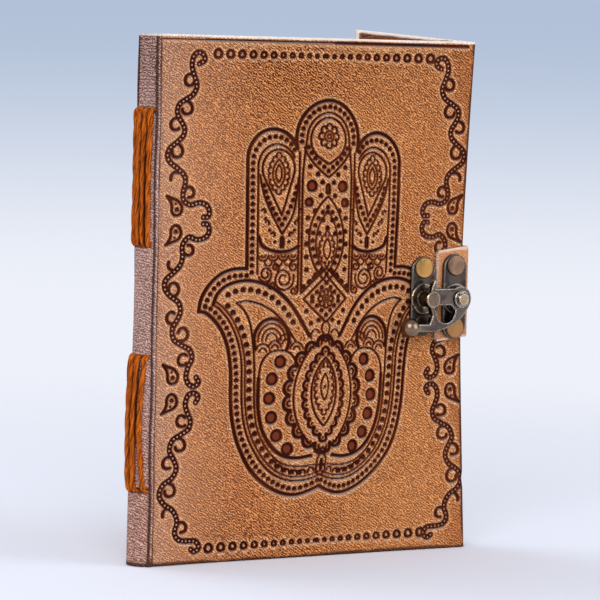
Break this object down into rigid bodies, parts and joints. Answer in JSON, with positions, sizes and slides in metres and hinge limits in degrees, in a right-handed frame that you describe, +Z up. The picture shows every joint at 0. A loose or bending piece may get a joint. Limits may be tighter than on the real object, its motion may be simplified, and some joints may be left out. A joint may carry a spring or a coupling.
{
  "type": "diary with lock",
  "caption": "Leather-bound diary with an embossed cover, long-stitched paper signatures and a swing-hook lock on a strap that wraps round its fore edge.",
  "frame": {"origin": "middle of the spine's leather at its foot, on the surface that the diary stands on", "axes": "+Z up along the spine, +X from the spine towards the fore edge, -Y towards the reader of the front cover"},
  "size_m": [0.1359, 0.0246, 0.1812],
  "materials": {
    "cover_leather": "tan, pebbled, embossed, with dark burnished edges",
    "strap_leather": "lighter natural tan with pale cut edges",
    "paper": "handmade, cream, with deckle edges",
    "sewing_cord": "twisted waxed cotton, orange",
    "antique_bronze": "antique bronze, dark with rubbed bright edges",
    "rivet_brass": "antique brass, satin"
  },
  "bodies": {
    "spine": {"spine": "cover_leather", "signature_1_fold": "paper", "signature_2_fold": "paper", "signature_3": "paper", "signature_4": "paper", "sewing_cord_1": "sewing_cord", "sewing_cord_2": "sewing_cord", "sewing_cord_3": "sewing_cord", "sewing_cord_4": "sewing_cord"},
    "front_cover": {"front_cover": "cover_leather", "front_turn_in": "cover_leather", "catch_plate": "antique_bronze", "catch_post": "antique_bronze", "catch_rivets": "rivet_brass", "catch_rivet_washers": "rivet_brass"},
    "leaves_1": {"signature_1_leaves": "paper"},
    "leaves_2": {"signature_2_leaves": "paper"},
    "back_cover": {"back_cover": "cover_leather", "back_turn_in": "cover_leather", "tab_anchor": "strap_leather", "anchor_rivets": "rivet_brass", "anchor_rivet_washers": "rivet_brass"},
    "tab_side": {"tab_side": "strap_leather"},
    "tab_front": {"tab_front": "strap_leather", "tab_plate": "antique_bronze", "tab_rivets": "rivet_brass", "tab_rivet_washers": "rivet_brass", "pivot_collar": "antique_bronze", "pivot_spacer": "antique_bronze", "pivot_pin": "antique_bronze"},
    "swing_hook": {"swing_hook": "antique_bronze"}
  },
  "joints": [
    {"name": "front_cover_hinge", "type": "hinge", "parent": "spine", "child": "front_cover", "pos_m": [0.0023, -0.00575, 0.089], "axis": [0, 0, -1], "range_deg": [0, 170]},
    {"name": "leaves_1_turn", "type": "hinge", "parent": "spine", "child": "leaves_1", "pos_m": [0.0083, -0.0039, 0.089], "axis": [0, 0, -1], "range_deg": [0, 150]},
    {"name": "leaves_2_turn", "type": "hinge", "parent": "spine", "child": "leaves_2", "pos_m": [0.0133, -0.00192, 0.089], "axis": [0, 0, -1], "range_deg": [0, 133]},
    {"name": "back_cover_hinge", "type": "hinge", "parent": "spine", "child": "back_cover", "pos_m": [0.0023, 0.00575, 0.089], "axis": [0, 0, 1], "range_deg": [0, 170]},
    {"name": "tab_side_fold", "type": "hinge", "parent": "back_cover", "child": "tab_side", "pos_m": [0.13075, 0.00734, 0.0895], "axis": [0, 0, 1], "range_deg": [0, 150]},
    {"name": "tab_front_fold", "type": "hinge", "parent": "tab_side", "child": "tab_front", "pos_m": [0.13075, -0.00764, 0.0895], "axis": [0, 0, 1], "range_deg": [0, 75]},
    {"name": "hook_swing", "type": "hinge", "parent": "tab_front", "child": "swing_hook", "pos_m": [0.124, -0.0111, 0.088], "axis": [0, -1, 0], "range_deg": [0, 70]}
  ],
  "couplings": [
    {"joint": "leaves_1_turn", "follows": "front_cover_hinge", "ratio": 0.88},
    {"joint": "leaves_2_turn", "follows": "front_cover_hinge", "ratio": 0.78},
    {"joint": "tab_front_fold", "follows": "tab_side_fold", "ratio": 0.5}
  ]
}
